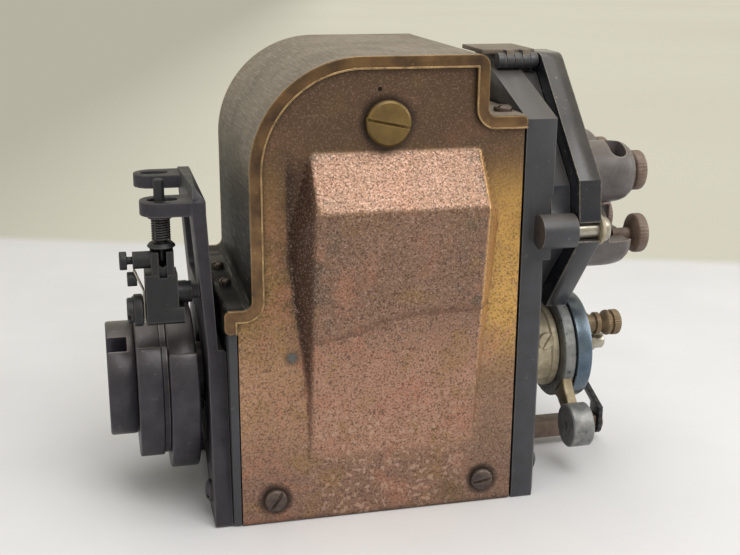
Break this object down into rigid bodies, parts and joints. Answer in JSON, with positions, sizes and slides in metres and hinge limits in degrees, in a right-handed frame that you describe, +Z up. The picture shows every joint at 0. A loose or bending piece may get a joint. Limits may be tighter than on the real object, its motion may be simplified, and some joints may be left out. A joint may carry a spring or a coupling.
{
  "type": "ignition magneto",
  "caption": "Boxed high-tension ignition magneto with an arched brass hood, bulged brass side cover, impulse coupling with trip lever, distributor towers and breaker with timing lever.",
  "frame": {"origin": "on the underside of the base, straight below the rotor shaft, midway between the end castings", "axes": "+X along the shaft towards the contact breaker, +Y away from the bulged front cover, +Z up"},
  "size_m": [0.2111, 0.1153, 0.17],
  "materials": {
    "patinated_brass": "pink-brown tarnished brass plate, speckled, satin",
    "hood_brass": "grey-brown darkened brass sheet, brushed",
    "black_enamel": "worn black enamel on cast metal, satin",
    "hard_rubber": "moulded black hard rubber, gloss",
    "aged_rubber": "aged grey-brown hard rubber, matt",
    "brown_nut": "dark brown moulded insulating nut, matt",
    "gunmetal": "dark oiled steel and iron castings, satin",
    "bright_steel": "bright nickelled steel, turned",
    "dark_steel": "dark oxidised steel, satin",
    "blued_steel": "blued spring steel, satin",
    "cast_aluminium": "grey cast aluminium, dull",
    "magnet_steel": "hardened magnet steel, dull",
    "laminated_iron": "soft iron laminations, dull",
    "bronze": "cut bronze gear metal, satin",
    "varnished_coil": "varnished winding, gloss",
    "red_fibre": "red vulcanised fibre, matt"
  },
  "bodies": {
    "frame": {"base_casting": "black_enamel", "drive_end_plate": "black_enamel", "distributor_end_casting": "black_enamel", "magnet_hood": "hood_brass", "front_side_plate": "patinated_brass", "rear_side_plate": "patinated_brass", "tie_bolt": "dark_steel", "front_tie_screw": "hood_brass", "left_plate_screw": "dark_steel", "right_plate_screw": "dark_steel", "front_magnet": "magnet_steel", "rear_magnet": "magnet_steel", "drive_pole_block": "laminated_iron", "breaker_pole_block": "laminated_iron", "front_field_pole": "laminated_iron", "rear_field_pole": "laminated_iron", "coil_core": "laminated_iron", "ignition_coil": "varnished_coil", "condenser": "varnished_coil", "high_tension_rod": "bronze", "drive_bearing": "bright_steel", "breaker_bearing": "bright_steel", "distributor_block": "hard_rubber", "terminal_moulding": "aged_rubber", "front_stud": "bright_steel", "rear_stud": "bright_steel", "trip_bracket": "gunmetal", "breaker_collar": "cast_aluminium", "clip_bar": "brown_nut"},
    "rotor": {"rotor_shaft": "bright_steel", "rotor_inductor": "laminated_iron", "rotor_pinion": "bronze", "breaker_cam": "bright_steel", "ratchet_hub": "gunmetal"},
    "drive_member": {"impulse_cup": "gunmetal", "slotted_coupling": "gunmetal", "impulse_spring": "blued_steel"},
    "trip_lever": {"trip_lever": "gunmetal", "lever_adjuster": "gunmetal", "leaf_spring": "bright_steel", "lever_stop_nut": "gunmetal"},
    "plunger": {"plunger": "gunmetal", "plunger_spring": "dark_steel"},
    "distributor_rotor": {"distributor_spindle": "bright_steel", "distributor_gear": "bronze", "distributor_finger": "aged_rubber"},
    "timing_lever": {"timing_lever": "cast_aluminium", "fixed_contact": "bright_steel", "breaker_cap": "blued_steel", "cap_button": "bright_steel", "ground_post": "brown_nut"},
    "breaker_arm": {"breaker_arm": "red_fibre"},
    "cap_clip": {"cap_clip": "black_enamel"},
    "oil_lid": {"oil_lid": "hood_brass"},
    "terminal_nut_1": {"terminal_nut_1": "brown_nut"},
    "terminal_nut_2": {"terminal_nut_2": "brown_nut"},
    "terminal_nut_3": {"terminal_nut_3": "brown_nut"},
    "terminal_nut_4": {"terminal_nut_4": "brown_nut"},
    "ground_nut": {"ground_nut": "brown_nut"}
  },
  "joints": [
    {"name": "rotor_spin", "type": "hinge", "parent": "frame", "child": "rotor", "pos_m": [0, 0, 0.045], "axis": [1, 0, 0], "continuous": true},
    {"name": "distributor_spin", "type": "hinge", "parent": "frame", "child": "distributor_rotor", "pos_m": [0.06, 0, 0.1085], "axis": [1, 0, 0], "continuous": true},
    {"name": "impulse_wind", "type": "hinge", "parent": "rotor", "child": "drive_member", "pos_m": [-0.085, 0, 0.045], "axis": [1, 0, 0], "range_deg": [0, 40], "stiffness_Nm_per_rad": 0.3},
    {"name": "trip_lever_swing", "type": "hinge", "parent": "frame", "child": "trip_lever", "pos_m": [-0.0759, -0.025, 0.0855], "axis": [1, 0, 0], "range_deg": [-12, 2], "stiffness_Nm_per_rad": 0.02},
    {"name": "plunger_lift", "type": "slide", "parent": "frame", "child": "plunger", "axis": [0, 0, 1], "range_m": [0, 0.003], "stiffness_N_per_m": 300, "springref_m": -0.002, "deforming": ["plunger_spring"]},
    {"name": "spark_advance", "type": "hinge", "parent": "frame", "child": "timing_lever", "pos_m": [0.0835, 0, 0.045], "axis": [1, 0, 0], "range_deg": [-15, 15]},
    {"name": "breaker_open", "type": "hinge", "parent": "timing_lever", "child": "breaker_arm", "pos_m": [0.086, -0.01134, 0.05155], "axis": [1, 0, 0], "range_deg": [0, 6], "stiffness_Nm_per_rad": 0.004, "springref_deg": -5.73},
    {"name": "cap_clip_swing", "type": "hinge", "parent": "frame", "child": "cap_clip", "pos_m": [0.1066, 0, 0.0077], "axis": [1, 0, 0], "range_deg": [0, 75]},
    {"name": "oil_lid_hinge", "type": "hinge", "parent": "frame", "child": "oil_lid", "pos_m": [0.06, -0.0066, 0.1636], "axis": [1, 0, 0], "range_deg": [0, 100]},
    {"name": "terminal_nut_1_turn", "type": "hinge", "parent": "frame", "child": "terminal_nut_1", "pos_m": [0.108, -0.0165, 0.12125], "axis": [1, 0, 0], "range_deg": [0, 360]},
    {"name": "terminal_nut_2_turn", "type": "hinge", "parent": "frame", "child": "terminal_nut_2", "pos_m": [0.108, 0.0165, 0.12125], "axis": [1, 0, 0], "range_deg": [0, 360]},
    {"name": "terminal_nut_3_turn", "type": "hinge", "parent": "frame", "child": "terminal_nut_3", "pos_m": [0.108, -0.0165, 0.09575], "axis": [1, 0, 0], "range_deg": [0, 360]},
    {"name": "terminal_nut_4_turn", "type": "hinge", "parent": "frame", "child": "terminal_nut_4", "pos_m": [0.108, 0.0165, 0.09575], "axis": [1, 0, 0], "range_deg": [0, 360]},
    {"name": "ground_nut_turn", "type": "hinge", "parent": "timing_lever", "child": "ground_nut", "pos_m": [0.104, -0.005, 0.0545], "axis": [1, 0, 0], "range_deg": [0, 360]}
  ],
  "couplings": [
    {"joint": "distributor_spin", "follows": "rotor_spin", "ratio": -0.5}
  ]
}
